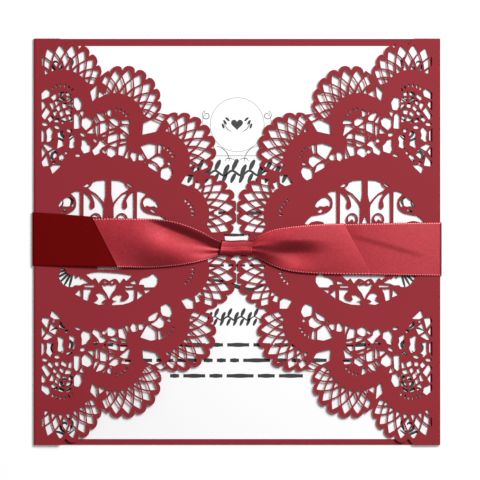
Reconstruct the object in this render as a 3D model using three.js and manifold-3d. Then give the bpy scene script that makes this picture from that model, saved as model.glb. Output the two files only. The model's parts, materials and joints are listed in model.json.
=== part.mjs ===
// Laser-cut wedding invitation: a square gatefold cover with two lace gates, the printed card inside it
// and the satin ribbon that ties it shut. It lies on its back: +X across, +Y up the face, +Z out of it.
// Lengths are in millimetres, and z is 0 at the underside of the ribbon.
import * as THREE from "three";
import { mergeVertices } from "three/addons/utils/BufferGeometryUtils.js";
import Module from "manifold-3d";

const wasm = await Module();
wasm.setup();

// Sizes that can be set
const COVER = 150; // side of the closed cover
const CARD = 0.3; // thickness of the cover's card
const INSERT_ROOM = 2.5; // from the cover's edge to the printed card's, on each side
const INSERT_CARD = 0.3; // thickness of the printed card
const INSERT_SHIFT_X = -1.2; // how far the printed card has slid from the middle
const INSERT_SHIFT_Y = -0.3;
const GATE_LIFT = 1.1; // air between the printed card and the gates
const RIBBON_WIDTH = 19.8;
const RIBBON = 0.3; // thickness of the ribbon
const RIBBON_ROOM = 0.3; // air between the cover's folds and the ribbon round them
const RIBBON_SLOPE = 1.45; // degrees that the front of the ribbon runs down to the right
const RIBBON_DROP = -0.9; // height of the ribbon's middle above the cover's
const RIBBON_PUFF = 2.2; // height of the gathered ribbon beside the knot
const KNOT_LENGTH = 12.2;
const KNOT_WIDTH = 5.6;
const KNOT_HEIGHT = 3.4;
const KNOT_DROP = 1.3; // how far the knot hangs below the ribbon's middle
const TAIL = 44.2; // from the knot's middle to the left tail's lower corner
const TAIL_RIGHT = 39.6; // from the knot's middle to the right tail's upper corner
const TAIL_SLANT = 8.7; // how far the tails' cut ends run out
const GATE_GAP = 0.6; // least air between the two gates
const CORNER_SHARE = 0.15; // a corner that holds less of its cell than this is left out

// The lace is drawn on a grid of 407 squares across the cover, and all its sizes follow the grid.
// x starts 33.5 squares left of the cover's edge, y runs down from the top, and the origin is the middle.
const SQUARE = COVER / 407;
const origin = new THREE.Vector2(237, 241.8);
const at = (x, y) => new THREE.Vector2(x - origin.x, origin.y - y).multiplyScalar(SQUARE);
const scallopBand = 30.4 * SQUARE; // outer radius of the solid band of each scallop
const scallopOffset = 22.65 * SQUARE; // from a band's centre to its lace edge's centre
const scallopEdge = 37.45 * SQUARE; // radius of the lace edge
const strut = 1.36 * SQUARE; // narrowest bridge of card between two scallops' cells
const leastCell = 15.4 * SQUARE ** 2; // area of the smallest cell that is cut

// Heights of the stack
const half = COVER / 2;
const backZ = RIBBON;
const insertZ = backZ + CARD;
const gateZ = insertZ + INSERT_CARD + GATE_LIFT;
const topZ = gateZ + CARD;
const foldRadius = (topZ - backZ) / 2;

// One closed solid of manifold from a three.js geometry
function solid(geometry) {
  const g = geometry.index ? geometry.toNonIndexed() : geometry.clone();
  g.deleteAttribute("normal");
  g.deleteAttribute("uv");
  const merged = mergeVertices(g, 1e-5);
  return new wasm.Manifold(
    new wasm.Mesh({
      numProp: 3,
      vertProperties: new Float32Array(merged.attributes.position.array),
      triVerts: new Uint32Array(merged.index.array),
    }),
  );
}

// A flat plate from an outline, with holes, between two heights
function plate(outline, z0, z1, holes = []) {
  const shape = new THREE.Shape(outline);
  shape.holes = holes.map((h) => new THREE.Path(h));
  const g = new THREE.ExtrudeGeometry(shape, { depth: z1 - z0, bevelEnabled: false });
  g.translate(0, 0, z0);
  return solid(g);
}

function join(solids) {
  return solids.reduce((all, next) => all.add(next));
}

function geometryOf(manifold) {
  const mesh = manifold.getMesh();
  const g = new THREE.BufferGeometry();
  g.setAttribute("position", new THREE.BufferAttribute(mesh.vertProperties, 3));
  g.setIndex(new THREE.BufferAttribute(mesh.triVerts, 1));
  g.computeVertexNormals();
  return g;
}

// A closed outline from a flat list of grid numbers
function cell(numbers) {
  const points = [];
  for (let i = 0; i < numbers.length; i += 2) {
    points.push(at(numbers[i], numbers[i + 1]));
  }
  return points;
}

// An oval on the grid: middle, half length, half width, turn in degrees
function oval(x, y, a, b, turn = 0, sides = 6) {
  const middle = at(x, y);
  const points = [];
  for (let i = 0; i < sides; i++) {
    const t = ((i + 0.5) / sides) * 2 * Math.PI;
    const p = new THREE.Vector2(a * SQUARE * Math.cos(t), b * SQUARE * Math.sin(t));
    p.rotateAround(new THREE.Vector2(), THREE.MathUtils.degToRad(turn));
    points.push(p.add(middle));
  }
  return points;
}

// The part of an outline on the side of a line that its normal points to
function clip(points, origin, normal) {
  const out = [];
  points.forEach((p, i) => {
    const q = points[(i + 1) % points.length];
    const a = p.clone().sub(origin).dot(normal);
    const b = q.clone().sub(origin).dot(normal);
    if (a >= 0) out.push(p);
    if (a >= 0 !== b >= 0) out.push(p.clone().lerp(q, a / (a - b)));
  });
  return out;
}

// Scallops of one gate from its top corner to the middle line: centre of the band on the grid,
// direction of the lace edge's centre, angle of the first bump, step, bumps, and bumps on the free edge
const scallops = [
  { centre: at(62, 101), aim: 83.4, first: 118.2, step: 13.2, bumps: 7, free: 3 },
  { centre: at(114.5, 124.5), aim: 66.1, first: 101.5, step: 13.3, bumps: 7, free: 0 },
  { centre: at(158.7, 161.5), aim: 30, first: 73.4, step: 13.1, bumps: 7, free: 0 },
  { centre: at(177.8, 213.7), aim: 6.9, first: 46, step: 12.7, bumps: 6, free: 0 },
];

function ray(angle) {
  const a = THREE.MathUtils.degToRad(angle);
  return new THREE.Vector2(Math.cos(a), Math.sin(a));
}

// Distance from a band's centre to its lace edge along an angle
function edgeRadius(scallop, angle) {
  const offset = scallopOffset * Math.cos(THREE.MathUtils.degToRad(angle - scallop.aim));
  return offset + Math.sqrt(scallopEdge ** 2 - scallopOffset ** 2 + offset ** 2);
}

// A point of the lattice: share 0 is on the band and share 1 on the lace edge
function lattice(scallop, angle, share) {
  const radius = scallopBand + share * (edgeRadius(scallop, angle) - scallopBand);
  return ray(angle).multiplyScalar(radius).add(scallop.centre);
}

function area(points) {
  return Math.abs(THREE.ShapeUtils.area(points));
}

// The lines that part a scallop from its neighbours; the last scallop meets its own mirror image
function seamsOf(i) {
  const here = scallops[i].centre;
  const mirror = scallops.at(-1).centre.clone().multiply(new THREE.Vector2(1, -1));
  const others = [scallops[i - 1]?.centre, scallops[i + 1]?.centre ?? mirror];
  return others.filter(Boolean).map((other) => {
    const normal = here.clone().sub(other).normalize();
    return { origin: here.clone().lerp(other, 0.5).addScaledVector(normal, strut / 2), normal };
  });
}

// Rows of diamond cells between the crossing struts of each scallop, cut where two scallops meet
function latticeCells() {
  const cells = [];
  scallops.forEach((s, i) => {
    const limits = [
      { origin: at(42, 0), normal: new THREE.Vector2(1, 0) },
      { origin: at(0, 45.5), normal: new THREE.Vector2(0, -1) },
      ...seamsOf(i),
    ];
    const add = (points) => {
      const cut = limits.reduce((p, l) => clip(p, l.origin, l.normal), points);
      if (cut.length > 2) cells.push(cut);
    };
    for (let j = 0; j < s.bumps; j++) {
      const angle = s.first - j * s.step;
      const next = angle - s.step / 2;
      const side = 0.42 * s.step;
      const inner = 0.37 * s.step;
      add(
        [
          lattice(s, angle, 0.88),
          lattice(s, angle + side, 0.64),
          lattice(s, angle, 0.4),
          lattice(s, angle - side, 0.64),
        ],
      );
      add(
        [
          lattice(s, next, 0.59),
          lattice(s, next + inner, 0.36),
          lattice(s, next, 0.13),
          lattice(s, next - inner, 0.36),
        ],
      );
    }
  });
  return cells;
}

// Cells where two scallops meet
const junctionCells = [
  [91.7, 92.1, 97.4, 85.8, 96.8, 96.7, 93.3, 99.8],
  [99, 97.6, 100, 90.6, 106, 94.4],
  [144.6, 124.2, 153, 119.9, 161, 122.9, 156, 130.5, 143.8, 133.2],
  [156.6, 118, 160.2, 115.4, 164.8, 117.8, 162.6, 120.4],
  [183.1, 182.8, 187.2, 176.2, 193, 176.2, 193, 182.4, 188.6, 184.8],
  [195.6, 187.6, 196.8, 182.4, 200, 183.6, 198.4, 189.4],
];

// Leaf and petal cells of the first scallop's hollow, down to the window's ring
const cornerCells = [
  [42, 93.8, 47.3, 89.9, 49.9, 91.7, 49.4, 95.8, 42.8, 98.1],
  [42, 102.4, 43.8, 102.2, 46.1, 105, 42.2, 109.8],
  [47.3, 107, 50.4, 111.1, 44.8, 118.5, 42, 115.7],
  [52, 97, 57, 93.5, 58.5, 98.5, 54, 102.5],
  [60.5, 92.5, 66, 91.8, 68.5, 95.5, 61.5, 97.5],
  [59.5, 100, 68.5, 97.8, 71.5, 104, 64, 107, 59, 104.5],
  [51, 105.5, 56, 104, 61, 108.5, 57, 113, 53, 111],
  [62.5, 110.2, 70.5, 107.5, 72, 112.5, 65, 115.8],
  [48, 118.5, 53, 113.5, 59, 116, 57, 121, 50, 122],
  [61, 118.3, 69.5, 116.2, 71.5, 121.5, 62.5, 122],
  [74.4, 97.9, 78.5, 97.9, 81.5, 103, 80.5, 108.6, 77.4, 109.1, 73.9, 105.5],
  [74.4, 115.7, 76.4, 113.9, 79, 115.7, 79.5, 127.4, 74.9, 128],
  [81, 112.5, 83.8, 111.8, 82.5, 116],
  [47, 131, 50.3, 127.8, 52.3, 131, 50.8, 135, 52.2, 139.5, 47.4, 141.5, 48.4, 136],
  [59, 133.5, 62.3, 132.2, 63.6, 135.5, 62, 139, 63, 144.5, 58.4, 147, 59.6, 140],
  [70.2, 136.5, 73.3, 135.8, 74.5, 139, 73.2, 142, 74, 146, 70, 148, 71.2, 142],
  [82.5, 139.5, 86, 141, 87.5, 144.6, 90, 146, 89.5, 150.5, 84.5, 152.2, 82.3, 148.5, 83.2, 144],
  [42.2, 147.6, 45.8, 151.6, 42.2, 157.5],
  [44.3, 145, 46.8, 144.2, 53, 147.6, 48.1, 150.6],
  [49.4, 152.7, 55, 149.6, 57, 154.7, 51.4, 160.8],
  [42.2, 162.3, 47.3, 155.7, 49.4, 164.9, 43.8, 165.2],
  [60.1, 156.7, 63.7, 153.7, 64.7, 156.7, 60.6, 160.8],
  [50.9, 167.4, 54.5, 164.4, 60.1, 165.4, 53, 172],
  [42, 129.5, 44.2, 132, 43.6, 139.5, 42, 140.5],
];

// Leaf and petal cells of the second scallop's hollow
const leafCells = [
  [83.1, 119.8, 87.7, 118, 92.2, 120.8, 91.2, 124.9, 86.1, 129, 82.6, 125.4],
  [94.2, 115.6, 98.5, 122, 96.8, 122.8, 95.5, 119.2],
  [97.5, 113.1, 101.9, 114.1, 105.4, 118.2, 104.9, 119.6, 100.8, 120.5, 99.3, 117.1],
  [107.8, 111.4, 111.2, 110.2, 110.6, 115.6, 107.8, 115],
  [100.8, 123.5, 106.4, 122.8, 107.7, 124.8, 107.5, 130.4, 100.3, 134],
  [96.3, 125.6, 98.5, 125.3, 98.5, 134.5, 97.5, 136.5, 96, 132.4],
  [93.9, 127.3, 94.2, 133.5, 87.1, 133],
  [109.5, 123.4, 115.1, 127.6, 109.5, 128.6],
  [109.5, 130.9, 116.7, 129.9, 109.5, 133],
  [109, 136, 118.2, 133.5, 118.7, 139.1, 108.5, 142.4],
  [120.7, 133.4, 123.8, 133, 127.4, 138.1, 120.7, 138.6],
  [110.5, 119.7, 114.6, 118.7, 118.7, 121.2, 118.6, 124.8, 116.4, 125.6, 112.6, 122.8],
  [120.8, 127.3, 123.8, 125.6, 128.4, 125.8, 129.9, 134.5, 124.8, 130.9],
  [122.4, 121.2, 129, 120.6, 130.4, 123.4, 122.8, 123.4],
  [110, 145.1, 118, 141.9, 117, 145.4, 114.6, 146.1],
  [119.6, 146.9, 126.9, 144.7, 126.3, 148.8, 123.3, 155.4, 119, 154.4],
  [108.6, 148.5, 111.6, 147.4, 115.4, 150.4, 116.2, 153.4, 111, 156.2, 107.3, 154.9],
  [99.8, 140.6, 102.4, 140.4, 106, 144.7, 100.8, 147.2, 99.8, 152.3, 95.2, 153.9, 93.7, 150.8, 99, 145.2],
  [128.9, 149.3, 128.3, 158, 125.8, 157.4],
  [130.6, 155.9, 133, 152.9, 137.1, 152.9, 136.6, 159.5, 134, 160.2],
  [139.3, 154.4, 141.7, 154.9, 144.2, 158, 143.2, 160, 138.9, 159.9],
];

// Leaf cells of the third scallop's hollow
const innerCells = [
  [142.2, 147, 150.6, 144.2, 156.7, 144.2, 156.4, 152.9, 152.8, 155.1, 148.4, 158.4, 146.3, 154.5],
  [158.7, 144.2, 162, 144.8, 161.4, 150.2, 160.4, 153.5, 158.5, 152.9],
  [151.7, 159.6, 159.3, 155.8, 163.4, 158.3, 164, 162.7, 160.9, 167.4, 157.1, 162.7],
  [148.6, 162.4, 153.9, 163.4, 156.7, 165.9, 158.6, 171.9, 154.4, 169, 149.5, 165.8],
  [162.7, 168.4, 170.1, 166.3, 171.7, 171.4, 170.1, 176.2, 167.1, 179, 162, 176.8, 161.6, 172],
];

// Ovals and dots between the leaves: x, y, half length, half width, turn
const ovals = [
  [45.3, 124, 3.1, 1.9, 0],
  [57.6, 127, 3.1, 1.9, -10],
  [69.5, 130.4, 3.1, 1.9, -15],
  [83.1, 134.4, 3.1, 1.9, -25],
  [95.8, 140.4, 2.6, 1.8, -35],
  [104.7, 151.4, 2.6, 1.8, -40],
  [54, 162.4, 1.7, 1.3, 30],
  [66.7, 152.6, 1.7, 1.7, 0],
  [78.4, 155.2, 3, 1.6, 10],
  [105.2, 138.3, 1.4, 1.4, 0],
];

const downward = (points) => points.map((p) => new THREE.Vector2(p.x, -p.y)).reverse();

// A cell without the corners that hardly change it
function plainer(points) {
  const least = CORNER_SHARE * area(points);
  const kept = [...points];
  for (let i = 0; i < kept.length && kept.length > 4; ) {
    const before = kept[(i + kept.length - 1) % kept.length];
    const after = kept[(i + 1) % kept.length];
    if (area([before, kept[i], after]) < least) kept.splice(i, 1);
    else i++;
  }
  return kept;
}

function quarterCells() {
  const cells = [
    ...latticeCells(),
    ...junctionCells.map(cell),
    ...cornerCells.map(cell),
    ...leafCells.map(cell),
    ...innerCells.map(cell),
    ...ovals.map((o) => oval(...o)),
  ];
  return cells.filter((c) => area(c) > leastCell).map(plainer);
}

// The free edge of the gate's upper half, from the top corner to the middle line
function freeEdge() {
  const points = [at(60, 38.5), at(65.5, 45.2)];
  scallops.forEach((s, i) => {
    const seams = seamsOf(i);
    const add = (p) => {
      if (seams.every((l) => p.clone().sub(l.origin).dot(l.normal) > 0)) points.push(p);
    };
    for (let j = s.free; j < s.bumps; j++) {
      const angle = s.first - j * s.step;
      add(lattice(s, angle + s.step / 2, 0.88));
      add(lattice(s, angle + s.step / 4, 1));
      add(lattice(s, angle - s.step / 4, 1));
    }
  });
  points.push(at(225.5, origin.y));
  return points.map((p) => new THREE.Vector2(Math.min(p.x, -GATE_GAP / 2), p.y));
}

// Holes of the round window that lie on both sides of its upright bar. The card between them is the
// scrollwork, and the ribbon hides the plain bars in the middle.
const windowAxis = at(108.75, 0).x;
const windowSides = [
  [92, 186.4, 93.2, 183.1, 97.8, 181.2, 105.2, 180.6, 105.2, 194.7, 104, 201.4, 96.1, 193.1, 89, 188.1],
  [84.3, 192.9, 87.8, 196.4, 90.3, 200.5, 89.3, 207.4, 91.1, 209.8, 93.6, 209.8, 95.7, 207.2, 95.4, 202.2,
    93.6, 197.2, 90.9, 193.8, 94.4, 194.9, 98.6, 199.4, 103.1, 208, 102.9, 224, 101.6, 224, 102.2, 217,
    98.4, 212.8, 93, 212.8, 89.2, 217.4, 90, 224, 84.3, 224],
  [72, 193.5, 76.2, 191.9, 79.5, 191.8, 79.7, 223.2, 68.5, 223.6, 67.2, 221.3, 60.6, 220, 54.1, 221.3,
    49.4, 223.4, 56.7, 216.3, 69.2, 214, 73.7, 211.7, 76.6, 208, 77.2, 203, 76.2, 198],
  [92.4, 221, 92, 218, 93.4, 215.8, 95.8, 215, 98.2, 216, 99, 218.6, 97.6, 221.4, 95.4, 218],
  [59.6, 205.9, 61.6, 202.2, 67, 198, 70.2, 198, 73, 200.4, 73.6, 203, 72.6, 206, 63, 205.2],
  [84.6, 186.4, 88.6, 183.9, 89.4, 184.6, 86.8, 186.4],
  [62.1, 211.9, 65.4, 209.4, 66, 210.6],
  [60, 230, 80, 230, 80, 252, 60, 252],
  [84.3, 230, 104.5, 230, 104.5, 252, 84.3, 252],
];

// Holes of the window that have no twin: a crown, a heart and scrolls
const windowCells = [
  [108.8, 216.8, 111.6, 224, 106, 224],
  [98, 262, 121, 262, 121, 268.6, 98, 268.6],
  [86.9, 274.6, 99, 272.4, 117.4, 273.5, 131.7, 275.4, 126.5, 279.8, 124, 277.2, 119.9, 282.3, 115.2, 278.3,
    109.4, 280.7, 103.4, 278.4, 99, 282.3, 96.5, 277.9, 94.6, 276.8, 92.4, 279],
  [102, 284.4, 105.6, 286.4, 109.3, 285.3, 113.7, 286.2, 116.6, 284.4, 115.2, 288.2, 111.5, 292.6,
    109.4, 298.5, 107.5, 293.3, 104.2, 288.9],
  [96.8, 294.8, 99.8, 293.3, 103.4, 294.4, 106.5, 298.6, 101.4, 301.2, 99, 304, 94.6, 302.5, 99, 300],
  [113, 298.8, 117.4, 295.5, 121.8, 295.5, 120.3, 298.8, 121, 301.8, 125.4, 301.4, 130.2, 296.3, 129.1, 293,
    125.4, 290, 134.2, 289.7, 133.9, 299.2, 129.1, 301.8, 122.5, 303.7, 113, 304.4, 117.7, 302.2, 117.4, 300],
  [84.3, 289.3, 91, 289.7, 89.1, 293.3, 87.6, 300, 84.2, 298.8],
  [84.7, 285.4, 94.4, 285.4, 94.4, 286.4, 85.1, 286.4],
  [125.4, 286, 133.5, 285.3, 133.5, 286.9, 126.2, 287],
  [130.6, 282.7, 135.7, 281.2, 136.1, 283.4, 132, 283.9],
  [60.5, 269, 64.5, 269.4, 66, 273.5, 72.2, 277.5, 74.4, 275, 76.3, 279.8, 79.6, 276.5, 81.4, 280.5,
    89.5, 282.7, 79.9, 284.5, 74.1, 284.3, 68.2, 286.2, 63.8, 283.8, 59.4, 277.2],
  [140.1, 283.8, 141.2, 280.5, 144.5, 278.3, 149.6, 277.2, 154, 274.3, 157.3, 277.6, 157.3, 282.3,
    154.4, 286.4, 145.2, 286.6],
  [138.3, 290.4, 140.5, 293.3, 144.1, 294.2, 137.9, 298.3],
  [144.9, 290.3, 150.4, 289.8, 145.6, 293.6],
  [80.3, 290, 81, 296.3, 76.3, 294.1],
];

const acrossAxis = (points) => points.map((p) => new THREE.Vector2(2 * windowAxis - p.x, p.y)).reverse();

// One gate: the whole left plate with its lace and its round window
function leftGate() {
  const upper = freeEdge();
  const lower = downward(upper).slice(1);
  const edge = foldRadius - half;
  const outline = [new THREE.Vector2(edge, half), ...upper, ...lower, new THREE.Vector2(edge, -half)];
  outline.reverse();
  const quarter = quarterCells();
  const sides = windowSides.map(cell);
  const window = [...sides, ...sides.map(acrossAxis), ...windowCells.map(cell)];
  const gate = plate(outline, gateZ, topZ, [...quarter, ...quarter.map(downward)]);
  return gate.subtract(join(window.map((hole) => plate(hole, gateZ - 1, topZ + 1))));
}

// One fold: the card bent round from the back panel to the gate
function leftFold() {
  const z = (backZ + topZ) / 2;
  const bend = (radius, from, to) =>
    Array.from({ length: 9 }, (_, i) => {
      const p = ray(THREE.MathUtils.lerp(from, to, i / 8)).multiplyScalar(radius);
      return p.add(new THREE.Vector2(foldRadius - half, z));
    });
  const flat = new THREE.Vector2(foldRadius - half + 1, topZ);
  const outline = [
    ...bend(foldRadius, 90, 270),
    new THREE.Vector2(flat.x, backZ),
    new THREE.Vector2(flat.x, backZ + CARD),
    ...bend(foldRadius - CARD, 270, 90),
    new THREE.Vector2(flat.x, topZ - CARD),
    flat,
  ];
  const g = new THREE.ExtrudeGeometry(new THREE.Shape(outline), { depth: COVER, bevelEnabled: false });
  g.rotateX(Math.PI / 2);
  g.translate(0, half, 0);
  return solid(g);
}

function box(x0, x1, y0, y1, z0, z1) {
  const g = new THREE.BoxGeometry(x1 - x0, y1 - y0, z1 - z0);
  g.translate((x0 + x1) / 2, (y0 + y1) / 2, (z0 + z1) / 2);
  return solid(g);
}

// The same solid on the other side of the middle plane
function mirrored(manifold) {
  const g = geometryOf(manifold);
  g.scale(-1, 1, 1);
  const order = g.index.array;
  for (let i = 0; i < order.length; i += 3) {
    [order[i], order[i + 1]] = [order[i + 1], order[i]];
  }
  return solid(g);
}

function cover() {
  const side = join([leftGate(), leftFold()]);
  const x = half - foldRadius;
  return join([side, mirrored(side), box(-x, x, -half, half, backZ, backZ + CARD)]);
}

function insert() {
  const x = INSERT_SHIFT_X;
  const y = INSERT_SHIFT_Y;
  const r = half - INSERT_ROOM;
  return box(x - r, x + r, y - r, y + r, insertZ, insertZ + INSERT_CARD);
}

// A closed strip with a flat underside. Each section gives x, the two edges' y, and the height of its arch
function strip(sections, z0, thickness) {
  const across = 6;
  const rows = sections.map(([x, y0, y1, arch]) => {
    const top = [];
    for (let i = 0; i <= across; i++) {
      const s = i / across;
      top.push([x, THREE.MathUtils.lerp(y0, y1, s), z0 + thickness + arch * Math.sin(Math.PI * s)]);
    }
    return [...top, [x, y1, z0], [x, y0, z0]];
  });
  const ring = across + 3;
  const index = [];
  for (let r = 0; r + 1 < rows.length; r++) {
    for (let i = 0; i < ring; i++) {
      const a = r * ring + i;
      const b = r * ring + ((i + 1) % ring);
      index.push(a, a + ring, b, b, a + ring, b + ring);
    }
  }
  const last = (rows.length - 1) * ring;
  for (let i = 1; i + 1 < ring; i++) {
    index.push(0, i, i + 1, last, last + i + 1, last + i);
  }
  const g = new THREE.BufferGeometry();
  g.setAttribute("position", new THREE.Float32BufferAttribute(rows.flat(2), 3));
  g.setIndex(index);
  return solid(g);
}

// Height of the middle of the ribbon's front at x
function ribbonMiddle(x) {
  return RIBBON_DROP - Math.tan(THREE.MathUtils.degToRad(RIBBON_SLOPE)) * x;
}

// The ribbon: a band round the cover that is drawn in to a flat knot, with two short tails over it
function ribbon() {
  const w = RIBBON_WIDTH / 2;
  const inside = half + RIBBON_ROOM;
  const outside = inside + RIBBON;
  const edge = (x, share) => ribbonMiddle(x) + w * share;
  const section = ([x, low, high, arch]) => [x, edge(x, low), edge(x, high), arch * RIBBON_PUFF];
  const left = [
    [-outside, -1, 1, 0],
    [-53, -0.97, 0.91, 0],
    [-42, -0.96, 0.83, 0.1],
    [-29, -0.92, 0.79, 0.45],
    [-22, -0.87, 0.71, 0.8],
    [-15, -0.7, 0.53, 1],
    [-9.3, -0.5, 0.16, 1],
    [-5, -0.42, 0.1, 0.8],
  ].map(section);
  const right = [
    [5, -0.42, 0.15, 0.8],
    [11.7, -0.69, 0.52, 1],
    [18.2, -0.93, 0.66, 1],
    [24.2, -1, 0.75, 0.7],
    [34, -1.02, 0.85, 0.3],
    [41.6, -1.01, 0.88, 0],
    [outside, -1, 1, 0],
  ].map(section);
  const tail = (x0, lower, upper, low, high) => [
    new THREE.Vector2(x0, edge(x0, low)),
    new THREE.Vector2(lower, edge(lower, low)),
    new THREE.Vector2(upper, edge(upper, high)),
    new THREE.Vector2(x0, edge(x0, high)),
  ];
  const leftTail = tail(-26, -TAIL, -TAIL - TAIL_SLANT, -0.9, 0.78);
  const rightTail = tail(22, TAIL_RIGHT + TAIL_SLANT, TAIL_RIGHT, -0.7, 0.72).reverse();
  const wall = (x0, x1) => box(x0, x1, edge(x0, -1), edge(x0, 1), 0, topZ + RIBBON);
  const back = [
    new THREE.Vector2(-outside, edge(-outside, -1)),
    new THREE.Vector2(outside, edge(outside, -1)),
    new THREE.Vector2(outside, edge(outside, 1)),
    new THREE.Vector2(-outside, edge(-outside, 1)),
  ];
  const tailZ = topZ + RIBBON;
  return join([
    plate(back, 0, RIBBON),
    wall(-outside, -inside),
    wall(inside, outside),
    strip(left, topZ, RIBBON),
    strip(right, topZ, RIBBON),
    plate(leftTail, tailZ, tailZ + RIBBON),
    plate(rightTail, tailZ, tailZ + RIBBON),
    knot(),
  ]);
}

// The knot: the ribbon wrapped once round the gathered strands
function knot() {
  const sides = 14;
  const outline = Array.from({ length: sides }, (_, i) => {
    const p = ray(((i + 0.5) / sides) * 360);
    const z = Math.max(p.y * KNOT_HEIGHT * 0.5 + KNOT_HEIGHT * 0.42, 0);
    return new THREE.Vector2(p.x * KNOT_WIDTH * 0.5, z);
  });
  const g = new THREE.ExtrudeGeometry(new THREE.Shape(outline), { depth: KNOT_LENGTH, bevelEnabled: false });
  g.translate(0, 0, -KNOT_LENGTH / 2);
  g.rotateX(Math.PI / 2);
  g.rotateZ(Math.PI / 2);
  g.translate(0, ribbonMiddle(0) - KNOT_DROP, topZ);
  return solid(g);
}

const paper = (color) => new THREE.MeshStandardMaterial({ color, roughness: 0.85, metalness: 0 });
const satin = new THREE.MeshStandardMaterial({ color: 0xa11c35, roughness: 0.35, metalness: 0 });

function piece(name, manifold, material) {
  const mesh = new THREE.Mesh(geometryOf(manifold), material);
  mesh.name = name;
  return mesh;
}

const invitation = new THREE.Group();
invitation.add(piece("gatefold_cover", cover(), paper(0x95262f)));
invitation.add(piece("insert_card", insert(), paper(0xf4f3f6)));
invitation.add(piece("satin_ribbon", ribbon(), satin));
export default invitation;
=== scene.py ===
# %% [markdown]
# # A laser-cut wedding invitation
# This lesson builds a square gatefold invitation in Blender: one sheet of red card that a laser has cut
# into lace and that is folded shut, a white printed card inside it, and a satin ribbon tied round both.
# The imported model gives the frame, so each piece goes straight to its place, in metres.

# %% Load the frame
import json
import math
import random

import bmesh
import bpy
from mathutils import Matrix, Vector

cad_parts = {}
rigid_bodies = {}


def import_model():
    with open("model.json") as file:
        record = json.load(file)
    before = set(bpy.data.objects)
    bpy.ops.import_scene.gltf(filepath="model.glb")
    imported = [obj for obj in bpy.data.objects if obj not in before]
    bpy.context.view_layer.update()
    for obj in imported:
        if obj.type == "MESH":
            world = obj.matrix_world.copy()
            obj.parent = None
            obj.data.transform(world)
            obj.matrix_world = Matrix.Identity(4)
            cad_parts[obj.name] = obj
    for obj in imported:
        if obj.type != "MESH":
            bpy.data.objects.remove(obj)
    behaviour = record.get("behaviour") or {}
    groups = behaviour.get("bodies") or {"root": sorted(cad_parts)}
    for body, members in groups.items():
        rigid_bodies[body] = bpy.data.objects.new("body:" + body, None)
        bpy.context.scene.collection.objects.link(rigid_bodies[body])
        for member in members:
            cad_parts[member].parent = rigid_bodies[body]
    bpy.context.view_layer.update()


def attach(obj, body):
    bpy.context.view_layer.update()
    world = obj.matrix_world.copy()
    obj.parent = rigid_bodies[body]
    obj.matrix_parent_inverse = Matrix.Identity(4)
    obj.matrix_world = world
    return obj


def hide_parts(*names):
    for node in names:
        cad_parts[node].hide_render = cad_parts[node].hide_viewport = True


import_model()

# %% [markdown]
# ## A grid to draw the lace on
# The lace is drawn on a grid of 407 squares across the closed cover, as a paper cutter draws on squared
# paper. One helper turns grid numbers into metres, so the rest of the lesson can speak in squares.

# %% The grid
COVER = 0.150  # side of the closed cover
CARD = 0.0003  # thickness of its card
BACK_Z = 0.00045  # height of the middle of the back panel's card
GATE_Z = 0.00215  # height of the middle of a gate's card
TOP_Z = GATE_Z + CARD / 2
FOLD_R = (GATE_Z - BACK_Z) / 2
FOLD_X = COVER / 2 - FOLD_R - CARD / 2
SQUARE = COVER / 407
MIDDLE_X = 237  # the cover's middle, on the grid
MIDDLE_Y = 241.8


def at(x, y):
    """A grid point as metres on the cover."""
    return Vector(((x - MIDDLE_X) * SQUARE, (MIDDLE_Y - y) * SQUARE))


def cell(*numbers):
    """A closed outline from grid numbers."""
    return [at(x, y) for x, y in zip(numbers[::2], numbers[1::2])]


def oval(x, y, a, b, turn=0, sides=12):
    """An oval outline on the grid."""
    t = math.radians(turn)
    out = []
    for i in range(sides):
        u = 2 * math.pi * i / sides
        p = Vector((a * math.cos(u), b * math.sin(u))) * SQUARE
        turned = Vector((p.x * math.cos(t) - p.y * math.sin(t), p.x * math.sin(t) + p.y * math.cos(t)))
        out.append(at(x, y) + turned)
    return out


print("one square is", round(SQUARE * 1000, 3), "mm")

# %% [markdown]
# ## The scallops
# Each gate's free edge is four and a half scallops, all from one pair of circles: a solid band, and a lace
# edge whose centre lies further out. Crossing struts fill the crescent between them. Working in the
# crescent's own terms, an angle and a share of the way out, makes every strut a smooth curve for free.

# %% The circles of the scallops
BAND = 0.0112  # outer radius of the solid band
EDGE = 0.0138  # radius of the lace edge
OFFSET = 0.00835  # how far apart the two centres are
# The band's centre, the way the lace edge leans, the first bump's angle, the step, and the number of bumps
SCALLOPS = [
    (at(62, 101), 83.4, 118.2, 13.2, 7),
    (at(114.5, 124.5), 66.1, 101.5, 13.3, 7),
    (at(158.7, 161.5), 30.0, 73.4, 13.1, 7),
    (at(177.8, 213.7), 6.9, 46.0, 12.7, 6),
]


def ray(angle):
    """The direction at an angle in degrees."""
    a = math.radians(angle)
    return Vector((math.cos(a), math.sin(a)))


def lattice(scallop, angle, share):
    """A point of the crescent: share 0 is on the band, 1 on the lace edge."""
    centre, aim = scallop[:2]
    d = OFFSET * math.cos(math.radians(angle - aim))
    edge = d + math.sqrt(EDGE**2 - OFFSET**2 + d**2)
    return centre + ray(angle) * (BAND + share * (edge - BAND))


crescent = lattice(SCALLOPS[0], SCALLOPS[0][1], 1) - lattice(SCALLOPS[0], SCALLOPS[0][1], 0)
print("the crescent is", round(crescent.length * 1000, 2), "mm wide at its widest")

# %% Where one scallop's lace ends and the next begins
STRUT = 0.00048  # width of the seam between two scallops
STRIP_X = 42  # the plain strip along the fold ends here, on the grid
RIM_Y = 45.5  # the plain rim along the top ends here


def area(points):
    """The area inside an outline."""
    return abs(sum(a.x * b.y - b.x * a.y for a, b in zip(points, points[1:] + points[:1]))) / 2


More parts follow.
